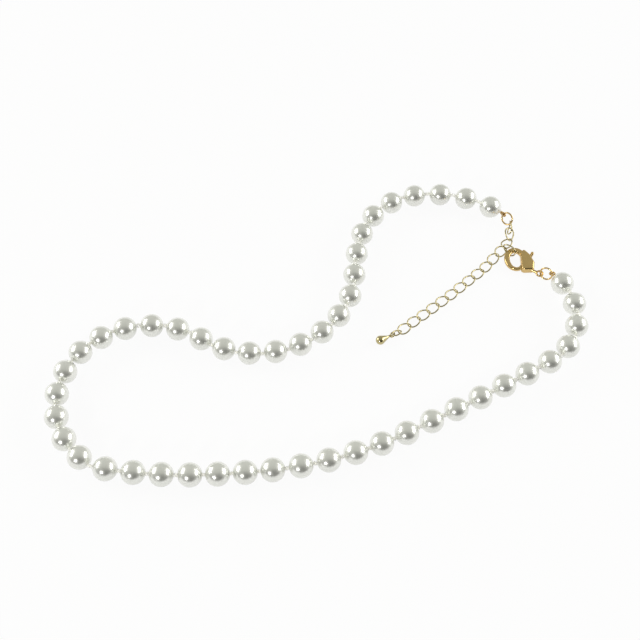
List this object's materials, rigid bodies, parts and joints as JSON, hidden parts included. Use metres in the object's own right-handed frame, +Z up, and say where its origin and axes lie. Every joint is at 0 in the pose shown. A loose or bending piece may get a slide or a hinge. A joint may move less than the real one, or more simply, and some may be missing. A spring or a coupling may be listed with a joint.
{
  "type": "pearl necklace",
  "caption": "Knotted strand of round imitation pearls with a gold lobster clasp hooked into a short extension chain that ends in a small drop.",
  "frame": {"origin": "centre of the strand's box on the surface it lies on", "axes": "+X along the long side of the laid strand towards the clasp, +Y away from the wearer of the view, +Z up off the surface"},
  "size_m": [0.1848, 0.1222, 0.008],
  "materials": {
    "pearl": "warm off-white nacre lacquer, satin gloss",
    "silk": "cream silk thread, knotted",
    "gimp_gold": "fine coil of gold wire",
    "clasp_gold": "polished gold plating",
    "chain_gold": "pale gold plating",
    "drop_gold": "polished pale gold plating",
    "spring_steel": "bare spring wire"
  },
  "bodies": {
    "strand_01": {"pearls_01": "pearl", "silk_01": "silk", "gimp_chain_end": "gimp_gold"},
    "strand_02": {"pearls_02": "pearl", "silk_02": "silk"},
    "strand_03": {"pearls_03": "pearl", "silk_03": "silk"},
    "strand_04": {"pearls_04": "pearl", "silk_04": "silk"},
    "strand_05": {"pearls_05": "pearl", "silk_05": "silk"},
    "strand_06": {"pearls_06": "pearl", "silk_06": "silk"},
    "strand_07": {"pearls_07": "pearl", "silk_07": "silk"},
    "strand_08": {"pearls_08": "pearl", "silk_08": "silk"},
    "strand_09": {"pearls_09": "pearl", "silk_09": "silk"},
    "strand_10": {"pearls_10": "pearl", "silk_10": "silk"},
    "strand_11": {"pearls_11": "pearl", "silk_11": "silk"},
    "strand_12": {"pearls_12": "pearl", "silk_12": "silk"},
    "strand_13": {"pearls_13": "pearl", "silk_13": "silk"},
    "strand_14": {"pearls_14": "pearl", "silk_14": "silk"},
    "strand_15": {"pearls_15": "pearl", "silk_15": "silk"},
    "strand_16": {"pearls_16": "pearl", "silk_16": "silk", "gimp_clasp_end": "gimp_gold"},
    "chain_ring": {"jump_ring_chain": "clasp_gold"},
    "link_01": {"link_01": "chain_gold"},
    "link_02": {"link_02": "chain_gold"},
    "link_03": {"link_03": "chain_gold"},
    "link_04": {"link_04": "chain_gold"},
    "clasp_ring": {"jump_ring_clasp": "clasp_gold"},
    "clasp": {"clasp_body": "clasp_gold", "clasp_rivet": "clasp_gold", "clasp_spring": "spring_steel"},
    "link_05": {"link_05": "chain_gold"},
    "link_06": {"link_06": "chain_gold"},
    "link_07": {"link_07": "chain_gold"},
    "link_08": {"link_08": "chain_gold"},
    "link_09": {"link_09": "chain_gold"},
    "link_10": {"link_10": "chain_gold"},
    "link_11": {"link_11": "chain_gold"},
    "link_12": {"link_12": "chain_gold"},
    "link_13": {"link_13": "chain_gold"},
    "link_14": {"link_14": "chain_gold"},
    "link_15": {"link_15": "chain_gold"},
    "link_16": {"link_16": "chain_gold"},
    "end_link": {"end_link": "chain_gold"},
    "end_ring": {"end_ring": "chain_gold"},
    "end_drop": {"end_drop": "drop_gold"},
    "clasp_lever": {"clasp_lever": "clasp_gold"}
  },
  "joints": [
    {"name": "knot_07_08", "type": "hinge", "parent": "strand_08", "child": "strand_07", "pos_m": [-0.07975, -0.00833, 0.004], "axis": [0, 0, -1], "range_deg": [-4.78, 4.78]},
    {"name": "knot_06_07", "type": "hinge", "parent": "strand_07", "child": "strand_06", "pos_m": [-0.05443, -0.00108, 0.004], "axis": [0, 0, 1], "range_deg": [-4.06, 4.06]},
    {"name": "knot_05_06", "type": "hinge", "parent": "strand_06", "child": "strand_05", "pos_m": [-0.02941, -0.01179, 0.004], "axis": [0, 0, 1], "range_deg": [-8, 8]},
    {"name": "knot_04_05", "type": "hinge", "parent": "strand_05", "child": "strand_04", "pos_m": [-0.00354, -0.00662, 0.004], "axis": [0, 0, 1], "range_deg": [-4.45, 4.45]},
    {"name": "knot_03_04", "type": "hinge", "parent": "strand_04", "child": "strand_03", "pos_m": [0.0112, 0.01577, 0.004], "axis": [0, 0, -1], "range_deg": [-6.48, 6.48]},
    {"name": "knot_02_03", "type": "hinge", "parent": "strand_03", "child": "strand_02", "pos_m": [0.0158, 0.04287, 0.004], "axis": [0, 0, 1], "range_deg": [-8, 8]},
    {"name": "knot_01_02", "type": "hinge", "parent": "strand_02", "child": "strand_01", "pos_m": [0.03889, 0.05733, 0.004], "axis": [0, 0, 1], "range_deg": [-4.23, 4.23]},
    {"name": "knot_08_09", "type": "hinge", "parent": "strand_08", "child": "strand_09", "pos_m": [-0.08857, -0.03229, 0.004], "axis": [0, 0, 1], "range_deg": [-4.53, 4.53]},
    {"name": "knot_09_10", "type": "hinge", "parent": "strand_09", "child": "strand_10", "pos_m": [-0.07382, -0.05423, 0.004], "axis": [0, 0, -1], "range_deg": [-4.65, 4.65]},
    {"name": "knot_10_11", "type": "hinge", "parent": "strand_10", "child": "strand_11", "pos_m": [-0.04678, -0.05716, 0.004], "axis": [0, 0, -1], "range_deg": [-8, 8]},
    {"name": "knot_11_12", "type": "hinge", "parent": "strand_11", "child": "strand_12", "pos_m": [-0.02027, -0.05586, 0.004], "axis": [0, 0, 1], "range_deg": [-6.89, 6.89]},
    {"name": "knot_12_13", "type": "hinge", "parent": "strand_12", "child": "strand_13", "pos_m": [0.00635, -0.05077, 0.004], "axis": [0, 0, 1], "range_deg": [-6.02, 6.02]},
    {"name": "knot_13_14", "type": "hinge", "parent": "strand_13", "child": "strand_14", "pos_m": [0.03161, -0.04013, 0.004], "axis": [0, 0, 1], "range_deg": [-7.8, 7.8]},
    {"name": "knot_14_15", "type": "hinge", "parent": "strand_14", "child": "strand_15", "pos_m": [0.05655, -0.02698, 0.004], "axis": [0, 0, 1], "range_deg": [-7.61, 7.61]},
    {"name": "knot_15_16", "type": "hinge", "parent": "strand_15", "child": "strand_16", "pos_m": [0.08114, -0.01317, 0.004], "axis": [0, 0, -1], "range_deg": [-5.15, 5.15]},
    {"name": "chain_ring_roll", "type": "hinge", "parent": "strand_01", "child": "chain_ring", "pos_m": [0.06755, 0.04801, 0.00328], "axis": [0.5693, -0.7937, -0.2141], "range_deg": [-16, 0]},
    {"name": "link_01_roll", "type": "hinge", "parent": "strand_01", "child": "link_01", "pos_m": [0.06963, 0.04511, 0.0025], "axis": [-0.1268, -0.9829, -0.1333], "range_deg": [0, 16]},
    {"name": "link_02_roll", "type": "hinge", "parent": "strand_01", "child": "link_02", "pos_m": [0.0693, 0.04257, 0.0019], "axis": [-0.1264, -0.9797, -0.1556], "range_deg": [-15, 15]},
    {"name": "link_03_roll", "type": "hinge", "parent": "strand_01", "child": "link_03", "pos_m": [0.06873, 0.03816, 0.0012], "axis": [-0.4858, -0.8639, 0.1333], "range_deg": [-6, 8]},
    {"name": "link_04_roll", "type": "hinge", "parent": "strand_01", "child": "link_04", "pos_m": [0.06662, 0.03441, 0.0023], "axis": [0.7087, -0.6928, -0.1333], "range_deg": [-0.5, 2.5]},
    {"name": "clasp_ring_roll", "type": "hinge", "parent": "strand_16", "child": "clasp_ring", "pos_m": [0.07888, 0.02249, 0.0015], "axis": [0.8331, -0.2603, 0.4881], "range_deg": [-5, 18]},
    {"name": "clasp_roll", "type": "hinge", "parent": "strand_16", "child": "clasp", "pos_m": [0.06867, 0.0324, 0.0015], "axis": [0.7175, -0.6965, 0], "range_deg": [-15, 5]},
    {"name": "link_05_swing", "type": "hinge", "parent": "link_04", "child": "link_05", "pos_m": [0.06667, 0.03446, 0.0023], "axis": [0, 0, 1], "range_deg": [-9, 3]},
    {"name": "link_06_swing", "type": "hinge", "parent": "link_05", "child": "link_06", "pos_m": [0.06353, 0.03135, 0.0012], "axis": [0, 0, -1], "range_deg": [-10, 10]},
    {"name": "link_07_swing", "type": "hinge", "parent": "link_06", "child": "link_07", "pos_m": [0.06074, 0.02783, 0.0009], "axis": [0, 0, 1], "range_deg": [-5, 12]},
    {"name": "link_08_swing", "type": "hinge", "parent": "link_07", "child": "link_08", "pos_m": [0.05771, 0.02451, 0.0009], "axis": [0, 0, -1], "range_deg": [-17, 1.5]},
    {"name": "link_09_swing", "type": "hinge", "parent": "link_08", "child": "link_09", "pos_m": [0.05424, 0.02163, 0.0009], "axis": [0, 0, 1], "range_deg": [-12, 6]},
    {"name": "link_10_swing", "type": "hinge", "parent": "link_09", "child": "link_10", "pos_m": [0.05093, 0.01859, 0.0009], "axis": [0, 0, -1], "range_deg": [-10, 8]},
    {"name": "link_11_swing", "type": "hinge", "parent": "link_10", "child": "link_11", "pos_m": [0.04757, 0.01559, 0.0009], "axis": [0, 0, 1], "range_deg": [-10, 8]},
    {"name": "link_12_swing", "type": "hinge", "parent": "link_11", "child": "link_12", "pos_m": [0.04426, 0.01255, 0.0009], "axis": [0, 0, -1], "range_deg": [-14, 4]},
    {"name": "link_13_swing", "type": "hinge", "parent": "link_12", "child": "link_13", "pos_m": [0.0407, 0.0098, 0.0009], "axis": [0, 0, 1], "range_deg": [-13, 5]},
    {"name": "link_14_swing", "type": "hinge", "parent": "link_13", "child": "link_14", "pos_m": [0.03734, 0.00681, 0.0009], "axis": [0, 0, -1], "range_deg": [-13, 5]},
    {"name": "link_15_swing", "type": "hinge", "parent": "link_14", "child": "link_15", "pos_m": [0.03377, 0.00406, 0.0009], "axis": [0, 0, 1], "range_deg": [-11, 7]},
    {"name": "link_16_swing", "type": "hinge", "parent": "link_15", "child": "link_16", "pos_m": [0.03031, 0.00119, 0.0009], "axis": [0, 0, -1], "range_deg": [-9, 9]},
    {"name": "end_link_swing", "type": "hinge", "parent": "link_16", "child": "end_link", "pos_m": [0.02696, -0.00159, 0.0009], "axis": [0, 0, 1], "range_deg": [-16, 25]},
    {"name": "end_ring_swing", "type": "hinge", "parent": "end_link", "child": "end_ring", "pos_m": [0.02474, -0.00272, 0.00115], "axis": [0, 0, -1], "range_deg": [-15, 27]},
    {"name": "end_drop_swing", "type": "hinge", "parent": "end_ring", "child": "end_drop", "pos_m": [0.02382, -0.0034, 0.0013], "axis": [0, 0, 1], "range_deg": [-25, 40]},
    {"name": "clasp_lever_pivot", "type": "hinge", "parent": "clasp", "child": "clasp_lever", "pos_m": [0.07321, 0.02543, 0.0015], "axis": [0, 0, -1], "range_deg": [0, 25], "stiffness_Nm_per_rad": 0.004, "springref_deg": -17.19, "deforming": ["clasp_spring"]}
  ],
  "couplings": [
    {"joint": "knot_07_08", "follows": "knot_10_11", "ratio": 0.59087},
    {"joint": "knot_03_04", "follows": "knot_10_11", "ratio": -0.80349},
    {"joint": "knot_09_10", "follows": "knot_10_11", "ratio": -0.57466},
    {"joint": "knot_15_16", "follows": "knot_10_11", "ratio": -0.63797},
    {"joint": "knot_06_07", "follows": "knot_02_03", "ratio": -0.50175},
    {"joint": "knot_01_02", "follows": "knot_02_03", "ratio": -0.5231},
    {"joint": "knot_13_14", "follows": "knot_02_03", "ratio": -0.96937},
    {"joint": "knot_14_15", "follows": "knot_02_03", "ratio": 0.94452},
    {"joint": "knot_04_05", "follows": "knot_05_06", "ratio": -0.55012},
    {"joint": "knot_08_09", "follows": "knot_05_06", "ratio": 0.55938},
    {"joint": "knot_11_12", "follows": "knot_05_06", "ratio": -0.85537},
    {"joint": "knot_12_13", "follows": "knot_05_06", "ratio": 0.74588}
  ]
}
